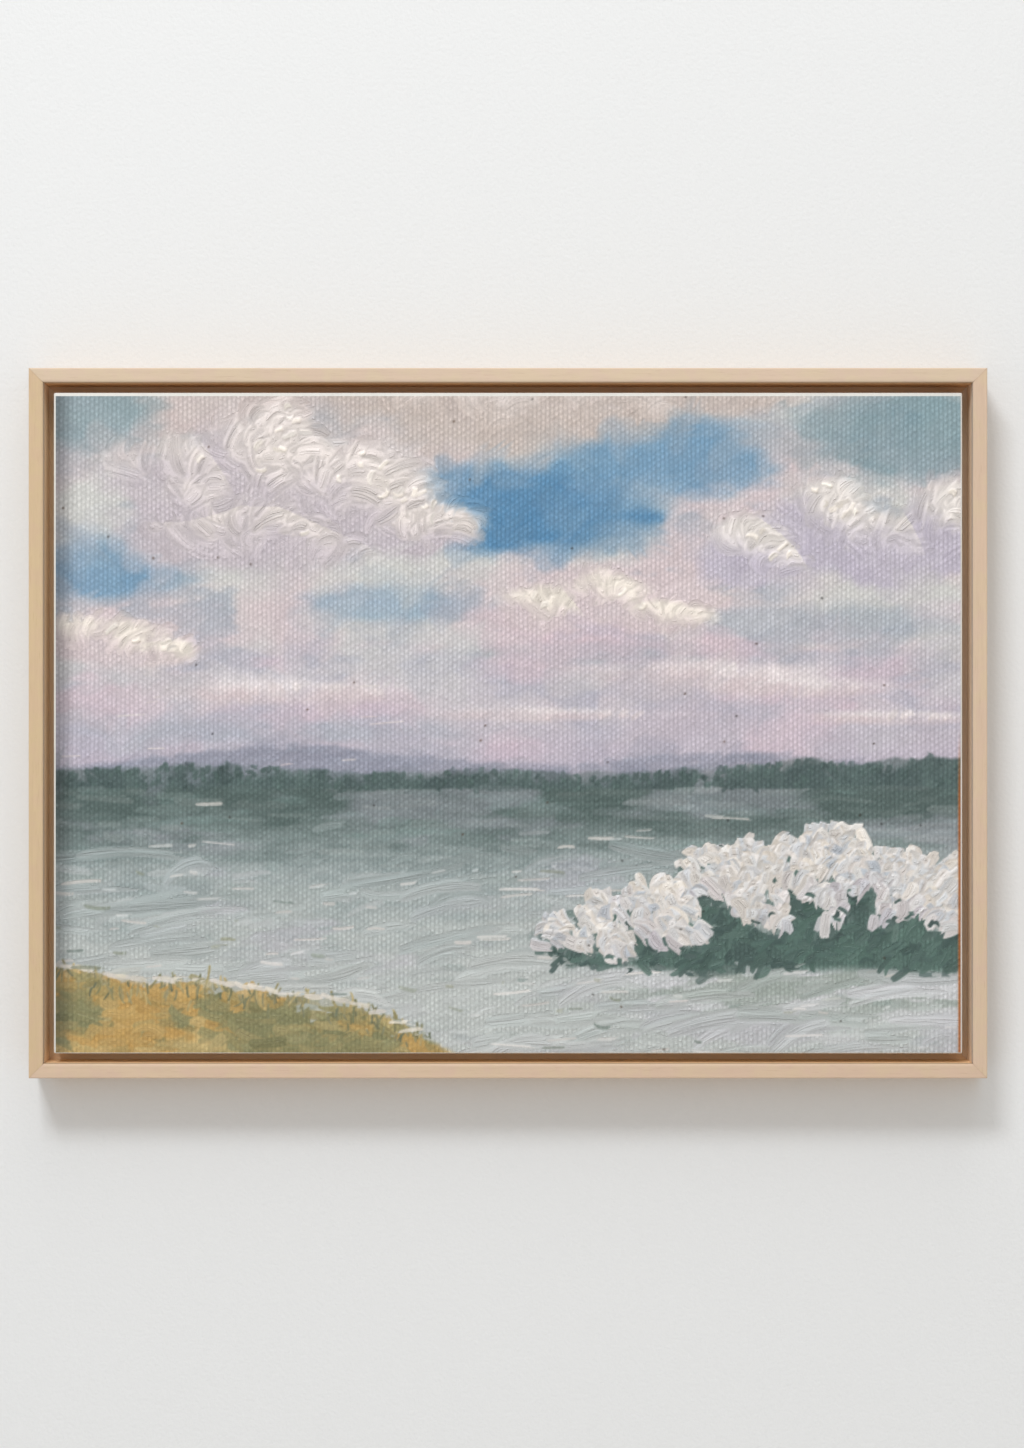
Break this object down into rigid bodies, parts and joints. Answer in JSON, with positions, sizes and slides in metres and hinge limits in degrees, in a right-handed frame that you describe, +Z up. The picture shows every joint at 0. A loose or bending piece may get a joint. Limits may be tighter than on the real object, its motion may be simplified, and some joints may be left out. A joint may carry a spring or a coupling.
{
  "type": "framed oil painting",
  "caption": "Landscape-format stretched canvas painted in oils, set back inside a thin pale wood floater frame with a shadow gap all round; keyhole hangers behind.",
  "frame": {"origin": "on the wall plane at the back of the top rail, midway between the two keyhole hangers and level with the wall screws that they ride on", "axes": "+X to the right as the picture is seen from the front, +Y out of the back into the wall, so the picture faces -Y, and +Z up"},
  "size_m": [0.5886, 0.035, 0.4362],
  "materials": {
    "frame_wood": "fine pale wood, matt lacquer, almost no grain showing",
    "painted_canvas": "oil paint on coarse primed canvas, soft satin sheen, thick strokes in the lights",
    "stretcher_wood": "planed bare pine",
    "zinc_steel": "bright zinc plate, satin"
  },
  "bodies": {
    "root": {"rail_top": "frame_wood", "rail_bottom": "frame_wood", "rail_left": "frame_wood", "rail_right": "frame_wood", "canvas": "painted_canvas", "stretcher_top": "stretcher_wood", "stretcher_bottom": "stretcher_wood", "stretcher_left": "stretcher_wood", "stretcher_right": "stretcher_wood", "screw_top_left": "zinc_steel", "screw_top_right": "zinc_steel", "screw_bottom_left": "zinc_steel", "screw_bottom_right": "zinc_steel", "screw_left_upper": "zinc_steel", "screw_left_lower": "zinc_steel", "screw_right_upper": "zinc_steel", "screw_right_lower": "zinc_steel", "hanger_left": "zinc_steel", "hanger_right": "zinc_steel", "hanger_screw_left_1": "zinc_steel", "hanger_screw_left_2": "zinc_steel", "hanger_screw_right_1": "zinc_steel", "hanger_screw_right_2": "zinc_steel"}
  },
  "joints": []
}
